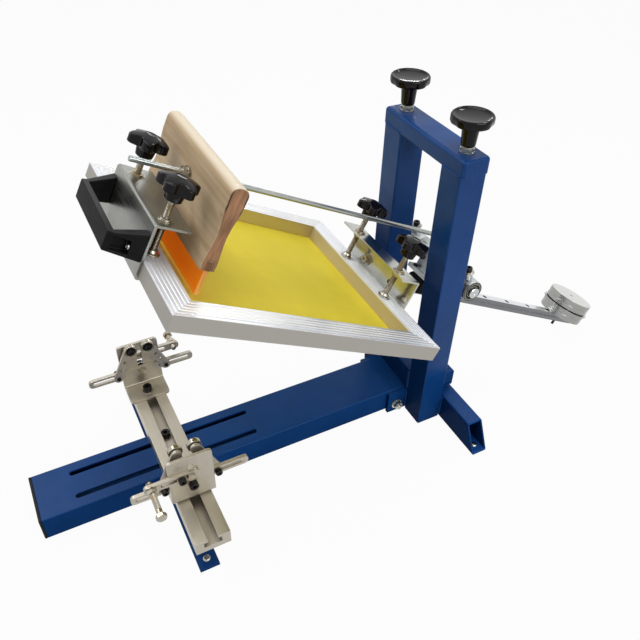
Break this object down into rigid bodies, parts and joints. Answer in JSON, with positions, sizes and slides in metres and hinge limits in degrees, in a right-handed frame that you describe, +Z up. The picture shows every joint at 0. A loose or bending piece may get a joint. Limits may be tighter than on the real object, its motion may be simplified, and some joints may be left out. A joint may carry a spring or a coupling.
{
  "type": "cylindrical screen printing machine",
  "caption": "Manual bench machine that prints round items: a tilting, sliding screen with a fixed squeegee over roller stands.",
  "frame": {"origin": "underside of the rear foot, half way along it and half way across it", "axes": "+Z up, -Y towards the operator, +X to the operator's right"},
  "size_m": [0.354, 0.984, 0.5093],
  "materials": {
    "blue_powder_coat": "gloss powder coat",
    "black_plastic": "fine matte grain",
    "black_gloss": "polished",
    "zinc_plate": "bright zinc with a yellow tinge",
    "zinc_sheet": "bright zinc sheet",
    "ground_steel": "ground",
    "machined_steel": "machined",
    "turned_steel": "turned",
    "machined_aluminium": "machined",
    "brushed_aluminium": "brushed",
    "satin_aluminium": "satin",
    "pale_wood": "sanded, bare",
    "orange_rubber": "smooth",
    "yellow_mesh": "fine woven screen"
  },
  "bodies": {
    "base": {"main_beam": "blue_powder_coat", "beam_end_cap": "black_plastic", "front_foot": "blue_powder_coat", "rear_foot": "blue_powder_coat", "right_post": "blue_powder_coat", "left_post": "blue_powder_coat", "top_beam": "blue_powder_coat", "crossbars": "blue_powder_coat", "screw_bushings": "zinc_plate"},
    "height_carriage": {"right_shaft_housing": "machined_aluminium", "left_shaft_housing": "machined_aluminium"},
    "lift_arm": {"pivot_shaft": "ground_steel", "pivot_block": "machined_steel", "slide_block": "ground_steel", "slide_block_caps": "black_plastic", "squeegee_rod": "zinc_plate", "squeegee_handle": "pale_wood", "squeegee_blade": "orange_rubber"},
    "screen_carriage": {"slide_rail": "ground_steel", "rail_mount": "machined_aluminium", "rear_clamp": "zinc_sheet", "front_clamp": "zinc_sheet", "screen_end_bars": "brushed_aluminium", "screen_side_bars": "brushed_aluminium", "screen_mesh": "yellow_mesh", "pull_handle": "black_plastic", "lower_counterweight": "turned_steel", "upper_counterweight": "turned_steel"},
    "stand_rail_slider": {"stand_rail": "brushed_aluminium"},
    "right_height_knob": {"right_height_knob": "black_gloss"},
    "front_right_clamp_knob": {"front_right_clamp_knob": "black_gloss"},
    "rear_right_clamp_knob": {"rear_right_clamp_knob": "black_gloss"},
    "right_roller_stand": {"right_stand_bracket": "satin_aluminium", "right_stand_bars": "satin_aluminium", "right_roller_arms": "satin_aluminium"},
    "right_front_roller": {"right_front_roller": "ground_steel"},
    "right_rear_roller": {"right_rear_roller": "ground_steel"},
    "left_height_knob": {"left_height_knob": "black_gloss"},
    "front_left_clamp_knob": {"front_left_clamp_knob": "black_gloss"},
    "rear_left_clamp_knob": {"rear_left_clamp_knob": "black_gloss"},
    "left_roller_stand": {"left_stand_bracket": "satin_aluminium", "left_stand_bars": "satin_aluminium", "left_roller_arms": "satin_aluminium"},
    "left_front_roller": {"left_front_roller": "ground_steel"},
    "left_rear_roller": {"left_rear_roller": "ground_steel"}
  },
  "joints": [
    {"name": "height_slide", "type": "slide", "parent": "base", "child": "height_carriage", "axis": [0, 0, 1], "range_m": [0, 0.09]},
    {"name": "screen_lift", "type": "hinge", "parent": "height_carriage", "child": "lift_arm", "pos_m": [0, 0.008, 0.244], "axis": [1, 0, 0], "range_deg": [0, 28]},
    {"name": "screen_slide", "type": "slide", "parent": "lift_arm", "child": "screen_carriage", "axis": [0, -0.8829, 0.4695], "range_m": [0, 0.25]},
    {"name": "stand_rail_slide", "type": "slide", "parent": "base", "child": "stand_rail_slider", "axis": [0, 1, 0], "range_m": [-0.11, 0.11]},
    {"name": "right_height_knob_turn", "type": "hinge", "parent": "base", "child": "right_height_knob", "pos_m": [0.066, -0.033, 0.46], "axis": [0, 0, 1], "continuous": true},
    {"name": "front_right_clamp_knob_turn", "type": "hinge", "parent": "screen_carriage", "child": "front_right_clamp_knob", "pos_m": [0.052, -0.3986, 0.46019], "axis": [0, 0.4695, 0.8829], "continuous": true},
    {"name": "rear_right_clamp_knob_turn", "type": "hinge", "parent": "screen_carriage", "child": "rear_right_clamp_knob", "pos_m": [0.052, -0.09928, 0.30104], "axis": [0, 0.4695, 0.8829], "continuous": true},
    {"name": "right_roller_stand_slide", "type": "slide", "parent": "stand_rail_slider", "child": "right_roller_stand", "axis": [1, 0, 0], "range_m": [-0.03, 0.04]},
    {"name": "right_front_roller_turn", "type": "hinge", "parent": "right_roller_stand", "child": "right_front_roller", "pos_m": [0.097, -0.4404, 0.151], "axis": [1, 0, 0], "continuous": true},
    {"name": "right_rear_roller_turn", "type": "hinge", "parent": "right_roller_stand", "child": "right_rear_roller", "pos_m": [0.097, -0.4156, 0.151], "axis": [1, 0, 0], "continuous": true},
    {"name": "left_height_knob_turn", "type": "hinge", "parent": "base", "child": "left_height_knob", "pos_m": [-0.066, -0.033, 0.46], "axis": [0, 0, 1], "continuous": true},
    {"name": "front_left_clamp_knob_turn", "type": "hinge", "parent": "screen_carriage", "child": "front_left_clamp_knob", "pos_m": [-0.052, -0.3986, 0.46019], "axis": [0, 0.4695, 0.8829], "continuous": true},
    {"name": "rear_left_clamp_knob_turn", "type": "hinge", "parent": "screen_carriage", "child": "rear_left_clamp_knob", "pos_m": [-0.052, -0.09928, 0.30104], "axis": [0, 0.4695, 0.8829], "continuous": true},
    {"name": "left_roller_stand_slide", "type": "slide", "parent": "stand_rail_slider", "child": "left_roller_stand", "axis": [1, 0, 0], "range_m": [-0.04, 0.03]},
    {"name": "left_front_roller_turn", "type": "hinge", "parent": "left_roller_stand", "child": "left_front_roller", "pos_m": [-0.114, -0.4404, 0.151], "axis": [1, 0, 0], "continuous": true},
    {"name": "left_rear_roller_turn", "type": "hinge", "parent": "left_roller_stand", "child": "left_rear_roller", "pos_m": [-0.114, -0.4156, 0.151], "axis": [1, 0, 0], "continuous": true}
  ]
}
